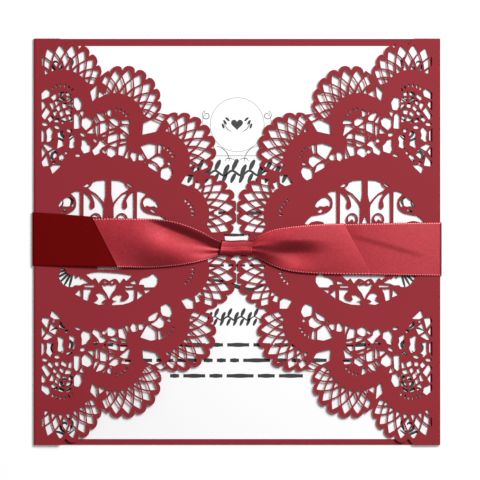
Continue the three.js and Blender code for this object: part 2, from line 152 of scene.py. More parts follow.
def clip(points, origin, normal):
    """The part of an outline on the side that normal points to."""
    out = []
    for p, q in zip(points, points[1:] + points[:1]):
        a, b = (p - origin).dot(normal), (q - origin).dot(normal)
        if a >= 0:
            out.append(p)
        if (a >= 0) != (b >= 0):
            out.append(p.lerp(q, a / (a - b)))
    return out


def limits(i):
    """The lines that cut a scallop's lattice: the fold strip, the rim and the seams to its neighbours."""
    lines = [(at(STRIP_X, 0), Vector((1, 0))), (at(0, RIM_Y), Vector((0, -1)))]
    here = SCALLOPS[i][0]
    others = [SCALLOPS[i - 1][0]] if i else []
    last = i == len(SCALLOPS) - 1
    others.append(Vector((here.x, -here.y)) if last else SCALLOPS[i + 1][0])
    for other in others:
        n = (here - other).normalized()
        lines.append(((here + other) / 2 + n * STRUT / 2, n))
    return lines


print("limits of each scallop:", [len(limits(i)) for i in range(len(SCALLOPS))])

# %% Crossing lattice
LEAST_CELL = 5e-7  # in square metres: a smaller cell is left uncut


def diamond(angle, half, outer, middle, inner):
    """The corners of a lattice cell, as angles and shares."""
    return [(angle, outer), (angle + half, middle), (angle, inner), (angle - half, middle)]


def curved(scallop, corners, steps=3):
    """Joins (angle, share) corners with the crescent's own curves."""
    out = []
    for (a0, s0), (a1, s1) in zip(corners, corners[1:] + corners[:1]):
        for k in range(steps):
            out.append(lattice(scallop, a0 + (a1 - a0) * k / steps, s0 + (s1 - s0) * k / steps))
    return out


lattice_cells = []
for i, s in enumerate(SCALLOPS):
    for j in range(s[4]):
        step = s[3]
        angle = s[2] - j * step
        between = angle - step / 2
        rows = [
            (diamond(angle, 0.43 * step, 0.9, 0.65, 0.39), LEAST_CELL),
            (diamond(between, 0.38 * step, 0.6, 0.36, 0.12), LEAST_CELL),
            ([(angle, 0.29), (angle + 4.1, 0.04), (angle - 4.1, 0.04)], LEAST_CELL / 2),
        ]
        for corners, least in rows:
            shape = curved(s, corners)
            for origin, normal in limits(i):
                shape = clip(shape, origin, normal) if len(shape) > 2 else shape
            if len(shape) > 2 and area(shape) > least:
                lattice_cells.append(shape)
print(len(lattice_cells), "lattice cells in a quarter of the lace")

# %% [markdown]
# ## Leaves, petals and dots
# Inside each scallop lies a little garden of leaves and petals. They follow no formula, so each hole is
# listed by the few corners it needs. The laser leaves slightly round corners, and a helper adds those.

# %% Cells between the scallops
JUNCTIONS = [
    cell(91.7, 92.1, 97.4, 85.8, 96.8, 96.7, 93.3, 99.8),
    cell(99, 97.6, 100, 90.6, 106, 94.4),
    cell(144.6, 124.2, 153, 119.9, 161, 122.9, 156, 130.5, 143.8, 133.2),
    cell(156.8, 118, 160.4, 115.4, 165, 117.8, 162.6, 120.4),
    cell(183.1, 182.8, 187.2, 176.2, 193, 176.2, 193, 182.4, 188.6, 184.8),
    cell(195.6, 187.6, 196.8, 182.4, 200, 183.6, 198.4, 189.4),
]
print(len(JUNCTIONS), "cells between scallops")

# %% Cells in the corner's scallop
CORNER = [
    cell(42, 93.8, 47.3, 89.9, 49.9, 91.7, 49.4, 95.8, 42.8, 98.1),
    cell(42, 102.4, 43.8, 102.2, 46.1, 105, 42.2, 109.8),
    cell(47.3, 107, 50.4, 111.1, 44.8, 118.5, 42, 115.7),
    cell(51.6, 97.4, 56.6, 93.2, 57.6, 97, 53.6, 100.6),
    cell(58.6, 92.9, 64, 91.6, 64.6, 95, 59.4, 96.2),
    cell(66, 91.4, 70, 92.6, 71.8, 96, 66.4, 95.4),
    cell(58.8, 97.9, 64.4, 96.9, 65, 101, 60, 102.6),
    cell(66.4, 96.9, 72.2, 97.8, 73, 102.4, 67, 101.4),
    cell(54.8, 101.6, 58.2, 99.4, 58.8, 103.4, 56.2, 105.8),
    cell(50.8, 103.6, 53.6, 102.2, 54.8, 106.8, 52.8, 109.4),
    cell(56.4, 107.8, 60.4, 104.4, 61.4, 108.6, 58, 111.8),
    cell(62.2, 103.6, 66.6, 102.8, 67.4, 107, 63.2, 108.2),
    cell(68.6, 103.2, 72.8, 104.6, 73, 109, 69.2, 107.6),
    cell(53.4, 112, 56.4, 110, 57.6, 113.4, 54.6, 116.2),
    cell(59.6, 113.2, 63, 110.2, 64.6, 114.2, 61, 116.8),
    cell(65.2, 109.8, 70.4, 109.4, 72.2, 113.4, 66.6, 114.4),
    cell(48.4, 118.9, 52, 115.8, 54, 118.6, 50.6, 122),
    cell(56, 117.6, 59.4, 117.8, 58.6, 121.6, 55, 121.4),
    cell(61.4, 119.2, 66.4, 116.6, 67.8, 120.6, 62.8, 122.4),
    cell(68.4, 116, 72, 115.2, 72.4, 121.8, 69.8, 121.6),
    cell(74.4, 97.9, 78.5, 97.9, 81.5, 103, 80.5, 108.6, 77.4, 109.1, 73.9, 105.5),
    cell(74.4, 115.7, 76.4, 113.9, 79, 115.7, 79.5, 127.4, 74.9, 128),
    cell(81, 112.5, 83.8, 111.8, 82.5, 116),
    cell(47, 131, 50.3, 127.8, 52.3, 131, 50.8, 135, 52.2, 139.5, 47.4, 141.5, 48.4, 136),
    cell(59, 133.5, 62.3, 132.2, 63.6, 135.5, 62, 139, 63, 144.5, 58.4, 147, 59.6, 140),
    cell(70.2, 136.5, 73.3, 135.8, 74.5, 139, 73.2, 142, 74, 146, 70, 148, 71.2, 142),
    cell(82.5, 139.5, 86, 141, 87.5, 144.6, 90, 146, 89.5, 150.5, 84.5, 152.2, 82.3, 148.5, 83.2, 144),
    cell(42.2, 147.6, 45.8, 151.6, 42.2, 157.5),
    cell(44.3, 145, 46.8, 144.2, 53, 147.6, 48.1, 150.6),
    cell(49.4, 152.7, 55, 149.6, 57, 154.7, 51.4, 160.8),
    cell(42.2, 162.3, 47.3, 155.7, 49.4, 164.9, 43.8, 165.2),
    cell(60.1, 156.7, 63.7, 153.7, 64.7, 156.7, 60.6, 160.8),
    cell(50.9, 167.4, 54.5, 164.4, 60.1, 165.4, 53, 172),
    cell(42, 129.5, 44.2, 132, 43.6, 139.5, 42, 140.5),
]
print(len(CORNER), "cells in the corner")

# %% Leaves of the second and third scallop
LEAVES = [
    cell(83.1, 119.8, 87.7, 118, 92.2, 120.8, 91.2, 124.9, 86.1, 129, 82.6, 125.4),
    cell(94.2, 115.6, 98.5, 122, 96.8, 122.8, 95.5, 119.2),
    cell(97.5, 113.1, 101.9, 114.1, 105.4, 118.2, 104.9, 119.6, 100.8, 120.5, 99.3, 117.1),
    cell(103.2, 111.4, 105.6, 112.5, 106.2, 115.2),
    cell(107.8, 111.4, 111.2, 110.2, 110.6, 115.6, 107.8, 115),
    cell(100.8, 123.5, 106.4, 122.8, 107.7, 124.8, 107.5, 130.4, 100.3, 134),
    cell(96.3, 125.6, 98.5, 125.3, 98.5, 134.5, 97.5, 136.5, 96, 132.4),
    cell(93.9, 127.3, 94.2, 133.5, 87.1, 133),
    cell(109.5, 123.4, 115.1, 127.6, 109.5, 128.6),
    cell(109.5, 130.9, 116.7, 129.9, 109.5, 133),
    cell(102.1, 136.1, 106.6, 134, 106, 135.4, 103.4, 136.7),
    cell(109, 136, 118.2, 133.5, 118.7, 139.1, 108.5, 142.4),
    cell(120.7, 133.4, 123.8, 133, 127.4, 138.1, 120.7, 138.6),
    cell(110.5, 119.7, 114.6, 118.7, 118.7, 121.2, 118.6, 124.8, 116.4, 125.6, 112.6, 122.8),
    cell(120.8, 127.3, 123.8, 125.6, 128.4, 125.8, 129.9, 134.5, 124.8, 130.9),
    cell(122.4, 121.2, 129, 120.6, 130.4, 123.4, 122.8, 123.4),
    cell(110, 145.1, 118, 141.9, 117, 145.4, 114.6, 146.1),
    cell(120.2, 143.6, 122.4, 141.4, 127.6, 140.8, 126.6, 142.2),
    cell(119.6, 146.9, 126.9, 144.7, 126.3, 148.8, 123.3, 155.4, 119, 154.4),
    cell(108.6, 148.5, 111.6, 147.4, 115.4, 150.4, 116.2, 153.4, 111, 156.2, 107.3, 154.9),
    cell(99.8, 140.6, 102.4, 140.4, 106, 144.7, 100.8, 147.2, 99.8, 152.3, 95.2, 153.9, 93.7, 150.8,
         99, 145.2),
    cell(128.9, 149.3, 128.3, 158, 125.8, 157.4),
    cell(130.6, 155.9, 133, 152.9, 137.1, 152.9, 136.6, 159.5, 134, 160.2),
    cell(139.3, 154.4, 141.7, 154.9, 144.2, 158, 143.2, 160, 138.9, 159.9),
]
INNER = [
    cell(142.2, 147, 150.6, 144.2, 156.7, 144.2, 156.4, 152.9, 152.8, 155.1, 148.4, 158.4, 146.3, 154.5),
    cell(158.7, 144.2, 162, 144.8, 161.4, 150.2, 160.4, 153.5, 158.5, 152.9),
    cell(151.7, 159.6, 159.3, 155.8, 163.4, 158.3, 164, 162.7, 160.9, 167.4, 157.1, 162.7),
    cell(148.6, 162.4, 153.9, 163.4, 156.7, 165.9, 158.6, 171.9, 154.4, 169, 149.5, 165.8),
    cell(162.7, 168.4, 170.1, 166.3, 171.7, 171.4, 170.1, 176.2, 167.1, 179, 162, 176.8, 161.6, 172),
    cell(168.2, 163.4, 170.6, 162.6, 171.4, 164.6, 168.8, 165.2),
]
print(len(LEAVES) + len(INNER), "leaves")

# %% Small ovals and dots
OVALS = [
    oval(45.3, 124, 3.1, 1.9),
    oval(57.6, 127, 3.1, 1.9, -10),
    oval(69.5, 130.4, 3.1, 1.9, -15),
    oval(83.1, 134.4, 3.1, 1.9, -25),
    oval(95.8, 140.4, 2.6, 1.8, -35),
    oval(104.7, 151.4, 2.6, 1.8, -40),
    oval(54, 162.4, 1.7, 1.3, 30),
    oval(66.7, 152.6, 1.7, 1.7),
    oval(78.4, 155.2, 3, 1.6, 10),
    oval(105.2, 138.9, 1.0, 1.0),
    oval(145.9, 161.9, 1.1, 1.1),
]

DOT_RING = 15.4  # squares from a scallop's centre
DOT_LONG = 0.0008  # half a dot's length
DOT_WIDE = 0.0004
DOT = [(1, 0), (0.5, 0.9), (-0.4, 0.8), (-1, 0), (-0.4, -0.8), (0.5, -0.9)]
dots = []
# Each row is a scallop, its first dot's angle and its number of dots
for i, first, count in [(0, 125, 6), (1, 82, 4), (2, 67, 4), (3, 58, 5)]:
    for k in range(count):
        along = ray(first - 15.5 * k)
        across = Vector((-along.y, along.x))
        middle = SCALLOPS[i][0] + along * DOT_RING * SQUARE
        dots.append([middle + along * u * DOT_LONG + across * v * DOT_WIDE for u, v in DOT])
print(len(OVALS), "ovals and", len(dots), "dots")

# %% Round the corners
WINDOW_ROUND = 0.00025  # how far from a corner the rounding starts
LEAF_ROUND = 0.0003
LATTICE_ROUND = 0.00022


def rounded(points, radius):
    """The outline with each sharp corner cut round."""
    out = []
    n = len(points)
    for i, p in enumerate(points):
        a, b = points[i - 1], points[(i + 1) % n]
        if (a - p).length * (b - p).length == 0:
            continue
        turn = (p - a).angle(b - p)
        if turn < 0.35:
            out.append(p)
            continue
        pa = p + (a - p).normalized() * min(radius, 0.35 * (a - p).length)
        pb = p + (b - p).normalized() * min(radius, 0.35 * (b - p).length)
        out += [pa, (pa + p * 2 + pb) / 4, pb]
    return out


print("a cell of 3 corners gets", len(rounded(JUNCTIONS[1], LEAF_ROUND)), "points")

# %% Even out the webs
WEB = 0.00062  # the web of card that a hole leaves to its neighbour
LEAF_GROWTH = 0.00045  # the most that a corner of a leaf moves out


def gap_to(p, outline):
    """How far a point lies from an outline."""
    least = 1.0
    for a, b in zip(outline, outline[1:] + outline[:1]):
        t = min(max((p - a).dot(b - a) / max((b - a).length_squared, 1e-12), 0), 1)
        least = min(least, (p - a.lerp(b, t)).length)
    return least


def spread(cells, others, most):
    """Lets each hole grow by up to most, until webs of even width are left between the holes."""
    strip_edge = at(STRIP_X - 0.4, 0).x
    everything = cells + others
    middles = [sum(c, Vector((0, 0))) / len(c) for c in everything]
    reaches = [max((p - c[0]).length for p in c) for c in everything]
    grown = []
    for k, c in enumerate(cells):
        near = [o for j, o in enumerate(everything)
                if j != k and (middles[j] - middles[k]).length < reaches[j] + reaches[k] + 0.003]
        turn = 1 if sum(a.x * b.y - b.x * a.y for a, b in zip(c, c[1:] + c[:1])) > 0 else -1
        out = []
        for i, p in enumerate(c):
            a, b = (p - c[i - 1]).normalized(), (c[(i + 1) % len(c)] - p).normalized()
            away = Vector((a.y + b.y, -a.x - b.x)) * turn
            room = min([gap_to(p, o) for o in near], default=1.0)
            step = min(max((room - WEB) / 2, 0), most)
            away = away.normalized() / max(away.length / 2, 0.6) if away.length > 0.2 else Vector((0, 0))
            moved = p + away * step
            out.append(Vector((max(moved.x, strip_edge), moved.y)))
        grown.append(out)
    return grown


lattice_cells = [rounded(c, LATTICE_ROUND) for c in lattice_cells]
leaves = JUNCTIONS + CORNER + LEAVES + INNER
leaves = [rounded(c, LEAF_ROUND) for c in spread(leaves, lattice_cells + OVALS + dots, LEAF_GROWTH)]
quarter = lattice_cells + leaves + OVALS + dots
print(len(quarter), "holes in a quarter,", sum(len(c) for c in quarter), "points")

# %% [markdown]
# ## The round window
# Each gate has a round window. Its scrolls are what the laser leaves between the holes, so drawing the
# holes draws the scrolls. The ribbon hides the middle of the window, and there plain bars are enough.

# %% Holes above the ribbon
AXIS = 108.75  # the window's upright bar, on the grid
SAIL = [(93.2, 183.1), (97.8, 181.2), (105.2, 180.6), (105.2, 194.7), (104, 201.4), (101.1, 198),
        (96.1, 193.1), (91.1, 189.8), (89, 188.1), (92, 186.4)]
TEAR = [(84.3, 192.9), (87.8, 196.4), (90.3, 200.5), (89.5, 203.9), (89.3, 207.4), (91.1, 209.8),
        (93.6, 209.8), (95.7, 207.2), (95.4, 202.2), (93.6, 197.2), (90.9, 193.8), (94.4, 194.9),
        (98.6, 199.4), (101.9, 204.4), (103.1, 208), (102.9, 224), (101.6, 224), (102.6, 220.5),
        (102.2, 217), (100.6, 214.4), (98.4, 212.8), (95.8, 212.2), (93, 212.8), (90.8, 214.6),
        (89.2, 217.4), (88.8, 220.5), (90, 224), (84.3, 224)]
CRESCENT = [(72, 193.5), (76.2, 191.9), (79.5, 191.8), (79.7, 223.2), (68.5, 223.6), (67.2, 221.3),
            (60.6, 220), (54.1, 221.3), (51.8, 223.8), (49.4, 223.4), (52.8, 219.3), (56.7, 216.3),
            (63.2, 215), (69.2, 214), (73.7, 211.7), (76.6, 208), (77.2, 203), (76.2, 198)]
COMMA = [(92.4, 221), (92, 218), (93.4, 215.8), (95.8, 215), (98.2, 216), (99, 218.6), (97.6, 221.4),
         (97, 219), (95.4, 218), (94, 219.2)]
CURL = [(59.6, 205.9), (61.6, 202.2), (64.9, 199.7), (67, 198), (70.2, 198), (73, 200.4), (73.6, 203),
        (72.6, 206), (71, 204.4), (67.5, 205.8), (63, 205.2), (60.6, 206.8)]
SLIT = [(84.6, 186.4), (88.6, 183.9), (89.4, 184.6), (86.8, 186.4)]
FOOT = [(62.1, 211.9), (65.4, 209.4), (66, 210.6), (63.8, 212.5)]


def both_sides(points):
    """A window shape and its mirror image about the window's upright bar."""
    left = [at(x, y) for x, y in points]
    right = [at(2 * AXIS - x, y) for x, y in reversed(points)]
    return [left, right]


window_cells = []
for shape in [SAIL, TEAR, CRESCENT, COMMA, CURL, SLIT, FOOT]:
    window_cells += both_sides(shape)
print(len(window_cells), "holes above the ribbon")

# %% Holes below the ribbon and behind it
WINDOW_GROWTH = 0.0003
window_cells += [
    cell(108.8, 216.8, 111.6, 224, 106, 224),
    cell(86.9, 274.6, 92.4, 273.2, 99, 272.4, 106.4, 272.8, 117.4, 273.5, 131.7, 275.4, 126.5, 279.8,
         124, 277.2, 122.5, 278.3, 119.9, 282.3, 117.7, 279, 115.2, 278.3, 112.6, 279, 109.4, 280.7,
         106.4, 278.7, 103.4, 278.4, 100.9, 279.4, 99, 282.3, 96.5, 277.9, 94.6, 276.8, 92.4, 279),
    cell(103.8, 280, 107.1, 282.2, 105.6, 282.8, 103.8, 281.4),
    cell(111.1, 282.2, 114.1, 280.2, 114.1, 281.4, 111.8, 282.8),
    cell(102, 284.4, 105.6, 286.4, 109.3, 285.3, 113.7, 286.2, 116.6, 284.4, 115.2, 288.2, 111.5, 292.6,
         109.4, 298.5, 107.5, 293.3, 104.2, 288.9),
    cell(96.8, 294.8, 99.8, 293.3, 103.4, 294.4, 106.5, 298.6, 103.4, 299.4, 101.4, 301.2, 102, 302.9,
         106, 303.6, 99, 304, 94.6, 302.5, 97.6, 301.1, 99, 300, 98.7, 297),
    cell(113, 298.8, 117.4, 295.5, 121.8, 295.5, 120.3, 298.8, 121, 301.8, 125.4, 301.4, 128.7, 299.6,
         130.2, 296.3, 129.1, 293, 125.4, 290, 134.2, 289.7, 133.9, 299.2, 129.1, 301.8, 122.5, 303.7,
         113, 304.4, 114, 302.5, 117.7, 302.2, 117.4, 300, 113.7, 299.8),
    cell(84.3, 289.3, 91, 289.7, 89.1, 293.3, 87.6, 300, 84.2, 298.8),
    cell(84.7, 285.4, 94.4, 285.4, 94.4, 286.4, 85.1, 286.4),
    cell(125.4, 286, 133.5, 285.3, 133.5, 286.9, 126.2, 287),
    cell(130.6, 282.7, 135.7, 281.2, 136.1, 283.4, 132, 283.9),
    cell(60.5, 269, 64.5, 269.4, 66, 273.5, 69.7, 275.7, 72.2, 277.5, 73.6, 275, 74.4, 275, 76.3, 279.8,
         79.6, 276.5, 81.4, 280.5, 83.2, 279, 89.5, 282.7, 83.6, 283.2, 79.9, 284.5, 74.1, 284.3, 73, 286,
         68.2, 286.2, 63.8, 283.8, 59.4, 277.2, 60.5, 274.3, 62.6, 271),
    cell(140.1, 283.8, 141.2, 280.5, 144.5, 278.3, 149.6, 277.2, 154, 274.3, 157.3, 277.6, 157.3, 282.3,
         154.4, 286.4, 145.2, 286.6, 144.9, 284.5, 142.3, 283.8),
    cell(138.3, 290.4, 140.5, 293.3, 144.1, 294.2, 137.9, 298.3),
    cell(144.9, 290.3, 150.4, 289.8, 145.6, 293.6),
    cell(80.3, 290, 81, 296.3, 76.3, 294.1),
    cell(98, 262, 121, 262, 121, 268.6, 98, 268.6),
]
for x in [60, 84.3, 113, 137.8]:
    window_cells.append(cell(x, 230, x + 20, 230, x + 20, 252, x, 252))
window_cells = [rounded(c, WINDOW_ROUND) for c in spread(window_cells, [], WINDOW_GROWTH)]
print(len(window_cells), "holes in the window")

# %% [markdown]
# ## One flat sheet, cut and then folded
# The real cover starts as one flat sheet of card, so this one does too. A flat 2-D curve fills its outline
# and leaves each inner spline open, which is just what a laser does. The curve gets the card's thickness,
# becomes a mesh, is cut across where it has to bend, and is then rolled round its two folds.

# %% The outline of the flat sheet
ARC = math.pi * FOLD_R  # length of card in one fold
GATE_GAP = 0.0006  # air between the two gates


def flat_left(p):
    """Where a point of the left gate lies on the flat sheet."""
    return Vector((-(2 * FOLD_X + ARC + p.x), p.y))


def free_edge():
    """The scalloped edge of a gate's upper half, from its top corner to the middle line."""
    points = [at(60, 38.5), at(62.8, 41), at(65.6, 45.4)]
    for i, s in enumerate(SCALLOPS):
        for j in range(3 if i == 0 else 0, s[4]):
            angle, step = s[2] - j * s[3], s[3]
            for u in (-0.5, -0.38, -0.2, 0, 0.2, 0.38, 0.5):
                p = lattice(s, angle - u * step, 0.83 + 0.2 * math.sqrt(1 - (2 * abs(u)) ** 2.2))
                if u > -0.5 and all((p - o).dot(n) > 0 for o, n in limits(i)[2:]):
                    points.append(p)
    points.append(at(225.5, 241.8))
    return [Vector((min(p.x, -GATE_GAP / 2), p.y)) for p in points]


half_edge = free_edge()
lower_edge = [Vector((p.x, -p.y)) for p in reversed(half_edge[:-1])]
left_edge = [flat_left(p) for p in half_edge + lower_edge]
right_edge = [Vector((-p.x, p.y)) for p in reversed(left_edge)]
outline = left_edge + right_edge
print("the flat sheet is", round(2 * (2 * FOLD_X + ARC) * 1000, 1), "mm wide")

# %% Cut the sheet out, with its holes
holes = []
for c in quarter:
    holes += [c, [Vector((p.x, -p.y)) for p in c]]
holes += window_cells
holes = [[flat_left(p) for p in c] for c in holes]
holes += [[Vector((-p.x, p.y)) for p in c] for c in holes]


def flat_curve(name, splines, thickness):
    """A filled 2-D curve from closed outlines, as a mesh."""
    data = bpy.data.curves.new(name, "CURVE")
    data.dimensions = "2D"
    data.fill_mode = "BOTH"
    data.extrude = thickness / 2
    for points in splines:
        spline = data.splines.new("POLY")
        spline.points.add(len(points) - 1)
        spline.points.foreach_set("co", [c for p in points for c in (p.x, p.y, 0, 1)])
        spline.use_cyclic_u = True
    obj = bpy.data.objects.new(name, data)
    bpy.context.collection.objects.link(obj)
    bpy.ops.object.select_all(action="DESELECT")
    obj.select_set(True)
    bpy.context.view_layer.objects.active = obj
    bpy.ops.object.convert(target="MESH")
    return bpy.context.view_layer.objects.active


cover = flat_curve("lace_cover", [outline] + holes, CARD)
print(len(holes), "holes cut,", len(cover.data.polygons), "faces")

# %% Cut the sheet across where it bends
FOLD_STEPS = 12
PANEL = 0.0075  # the gates bend in panels of this height
bm = bmesh.new()
bm.from_mesh(cover.data)
bmesh.ops.remove_doubles(bm, verts=bm.verts, dist=1e-7)
cuts = [FOLD_X + ARC * k / FOLD_STEPS for k in range(FOLD_STEPS + 1)]
cuts += [FOLD_X + ARC + 0.0074 * k for k in range(1, 10)]
planes = [((sign * c, 0, 0), (1, 0, 0)) for c in cuts for sign in (-1, 1)]
planes += [((0, y * PANEL, 0), (0, 1, 0)) for y in range(-9, 10)]
for co, no in planes:
    everything = bm.verts[:] + bm.edges[:] + bm.faces[:]
    bmesh.ops.bisect_plane(bm, geom=everything, dist=1e-8, plane_co=co, plane_no=no)
bmesh.ops.triangulate(bm, faces=[f for f in bm.faces if len(f.verts) > 4])
print("cut across at", len(planes), "lines")

# %% Fold it
LIFT = 0.0009  # how far a gate springs up away from the ribbon


def ease(t):
    """A soft step from 0 to 1."""
    t = min(max(t, 0.0), 1.0)
    return t * t * (3 - 2 * t)


def lift(x, y):
    """How far a gate stands up from its folded height: the ribbon holds it down at the middle."""
    return LIFT * ease((abs(y) - 0.012) / 0.05) * ease((COVER / 2 - abs(x)) / 0.045)


def fold(p):
    """A point of the flat sheet on the folded card."""
    side = -1 if p.x < 0 else 1
    along, out = abs(p.x), -p.z
    if along <= FOLD_X:
        return Vector((p.x, p.y, BACK_Z - out))
    if along <= FOLD_X + ARC:
        t = (along - FOLD_X) / FOLD_R
        x = FOLD_X + (FOLD_R + out) * math.sin(t)
        z = BACK_Z + FOLD_R - (FOLD_R + out) * math.cos(t)
        return Vector((side * x, p.y, z))
    x = side * (2 * FOLD_X + ARC - along)
    return Vector((x, p.y, GATE_Z + out + lift(x, p.y)))


for v in bm.verts:
    v.co = fold(v.co)
bmesh.ops.recalc_face_normals(bm, faces=bm.faces)
bm.to_mesh(cover.data)
bm.free()
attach(cover, "root")
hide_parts("gatefold_cover")
print("cover:", len(cover.data.polygons), "faces", [round(v * 1000, 2) for v in cover.dimensions])

# %% [markdown]
# ## The satin ribbon
# One length of satin goes round the cover and is tied flat, and its two ends lie over the band. A knot
# gathers it, so it is described as a dressmaker would: stations along the ribbon, each with its low edge,
# its high edge and how far the middle arches, in millimetres. A smooth curve runs through the stations. A
# cloth simulation could tie it too, but stations put each fold where the real ribbon has it.

# %% Sizes of the ribbon and a smooth curve
MM = 0.001
FACE = TOP_Z * 1000 + 0.12  # the ribbon's middle, where it lies on the gates
UNDER = 0.15  # the ribbon's middle, under the back panel
SIDE = 75.45  # the ribbon's middle, beside the folds
LEFT_EDGES = (-8.9, 10.9)  # the ribbon's low and high edge at the left fold
RIGHT_EDGES = (-12.7, 7.2)


def smooth(rows, t):
    """The values at t, from 0 to 1, on a smooth curve through the rows."""
    last = len(rows) - 1
    i = min(int(t * last), last - 1)
    u = t * last - i
    near = [rows[max(i - 1, 0)], rows[i], rows[i + 1], rows[min(i + 2, last)]]
    return [
        0.5 * (2 * b + (c - a) * u + (2 * a - 5 * b + 4 * c - d) * u * u + (3 * b - a - 3 * c + d) * u**3)
        for a, b, c, d in zip(*near)
    ]


print("the ribbon lies", round(FACE, 2), "mm up, and halfway from 0 to 1 is", smooth([(0,), (1,)], 0.5)[0])


# %% A strip through stations
def strip(bm, uv, stations, rows, across, shape=None, shaded=False):
    """A strip through stations of low edge x, y, z, high edge x, y, z and arch. UVs are metres and a share.

    A shaded strip takes the darker satin, painted shade on the band left of the knot."""
    grid = []
    lengths = []
    along = 0.0
    last = None
    for r in range(rows + 1):
        s = smooth(stations, r / rows)
        low, high = Vector(s[0:3]), Vector(s[3:6])
        middle = (low + high) / 2
        along += (middle - last).length * MM if last else 0.0
        last = middle
        line = []
        for c in range(across + 1):
            v = c / across
            p = low.lerp(high, v)
            p.z += s[6] * math.sin(math.pi * v)
            if shape:
                p.z += shape(p, v)
            line.append(bm.verts.new(p * MM))
        grid.append(line)
        lengths.append(along)
    for r in range(rows):
        for c in range(across):
            corners = ((r, c), (r + 1, c), (r + 1, c + 1), (r, c + 1))
            face = bm.faces.new([grid[i][j] for i, j in corners])
            face.smooth = True
            face.material_index = int(shaded)
            for loop, (i, j) in zip(face.loops, corners):
                loop[uv].uv = (lengths[i], j / across)


print("full width", round(RIGHT_EDGES[1] - RIGHT_EDGES[0], 1), "mm")

# %% Folds and hollows
PLEAT = 0.11  # height of the fine folds at the knot, in millimetres
HOLLOW = 1.0  # depth of the right lobe's hollow
CREASE = 0.10  # height of the pressed crease


def dip(p, a, b, deep, left, right):
    """A soft groove along the line from a to b, with its own width to the left and to the right."""
    line = Vector(b) - Vector(a)
    at_line = Vector(p.xy) - Vector(a)
    t = at_line.dot(line) / line.length_squared
    off = (at_line.x * line.y - at_line.y * line.x) / line.length
    wide = right if off > 0 else left
    return -deep * ease((t + 0.25) / 0.6) * ease((1.5 - t) / 0.3) * math.exp(-((off / wide) ** 2))


def pleats(p, v):
    """Fine folds that fan out from the knot."""
    near = max(0.0, 1 - abs(p.x) / 24) ** 1.6
    return PLEAT * near * math.sin(21 * v + 1.2 + 0.1 * p.x) * math.sin(math.pi * v)


def left_gather(p, v):
    """The fold that runs from the upper edge down into the knot's left end."""
    return pleats(p, v) + dip(p, (-32.0, 7.2), (-8.1, -2.4), deep=1.3, left=2.3, right=6.6)


def right_hollow(p, v):
    """The hollow of the right lobe: a long fall from the upper edge and a short rise to the lower one."""
    reach = math.exp(-(((p.x - 20.5) / 8.2) ** 2))
    fall = ease((0.9 - p.y) / 5.2) * ease((p.y + 11.8) / 8.0)
    return pleats(p, v) - HOLLOW * reach * fall


def crease(p, v):
    """A pressed crease that runs down across the right end of the band."""
    off = p.y - 2.2 + (p.x - 42.1) * 0.282
    share = ease((p.x - 40) / 6) * ease((72 - p.x) / 12)
    return share * CREASE * ease((off + 1.2) / 2.4)


print("the left fold goes", round(-left_gather(Vector((-15, 0.4, 0)), 0), 2), "mm deep")

# %% Stations of the band and the two tails
band_left = [
    (-SIDE + 0.5, LEFT_EDGES[0], FACE, -SIDE + 0.5, LEFT_EDGES[1], FACE, 0),
    (-66, -9.0, FACE + 0.9, -66, 10.3, FACE + 0.8, 0),
    (-56, -9.1, FACE + 1.75, -56, 9.5, FACE + 1.6, 0),
    (-48, -9.2, FACE + 2.1, -48, 8.7, FACE + 1.9, 0),
    (-40, -9.2, FACE + 1.3, -40, 8.0, FACE + 1.2, 0),
    (-26, -8.6, FACE + 0.2, -26, 6.6, FACE + 0.2, 0),
    (-10, -5.4, FACE, -10, 0.4, FACE, 0),
    (-4, -4.2, FACE, -4, -0.8, FACE, 0),
]
tail_left = [
    (-43.9, -9.4, FACE + 2.25, -53.1, 8.6, FACE + 2.25, 0.1),
    (-39, -9.5, FACE + 1.9, -46, 8.7, FACE + 2.35, 0.35),
    (-33, -9.6, FACE + 1.4, -38, 8.6, FACE + 2.4, 0.6),
    (-26, -9.2, FACE + 1.4, -29, 8.3, FACE + 2.5, 0.65),
    (-19.5, -8.4, FACE + 1.75, -21, 6.9, FACE + 2.5, 0.5),
    (-13.5, -7.2, FACE + 1.9, -13.8, 4.1, FACE + 2.3, 0.35),
    (-8.6, -5.7, FACE + 1.6, -8.4, 1.1, FACE + 2.0, 0.2),
    (-4, -4.2, FACE + 1.2, -4, -1.0, FACE + 1.6, 0),
]
band_right = [
    (4, -4.4, FACE, 4, -0.6, FACE, 0),
    (11, -7.4, FACE, 11, 3.2, FACE, 0),
    (20, -10.2, FACE, 20, 5.0, FACE, 0),
    (32, -11.7, FACE + 0.5, 32, 6.1, FACE + 0.6, 0),
    (43, -12.1, FACE + 1.1, 43, 6.7, FACE + 1.2, 0),
    (54, -12.3, FACE + 1.05, 54, 6.9, FACE + 1.1, 0),
    (65, -12.5, FACE + 0.6, 65, 7.1, FACE + 0.6, 0),
    (SIDE - 0.5, RIGHT_EDGES[0], FACE, SIDE - 0.5, RIGHT_EDGES[1], FACE, 0),
]
tail_right = [
    (4, -4.3, FACE + 1.2, 4, -0.4, FACE + 1.2, 0.3),
    (8.2, -6.3, FACE + 1.2, 8.2, 2.3, FACE + 1.8, 0.5),
    (13, -8.7, FACE + 1.4, 13, 4.4, FACE + 2.2, 0.5),
    (19, -10.7, FACE + 1.5, 19, 5.5, FACE + 2.4, 0.4),
    (26.5, -11.6, FACE + 1.5, 26, 6.2, FACE + 2.2, 0.25),
    (36, -12.0, FACE + 1.35, 32, 6.6, FACE + 1.8, 0.1),
    (49.6, -12.1, FACE + 1.25, 39.4, 6.8, FACE + 1.3, 0),
]
print(len(tail_left), "stations in each tail")


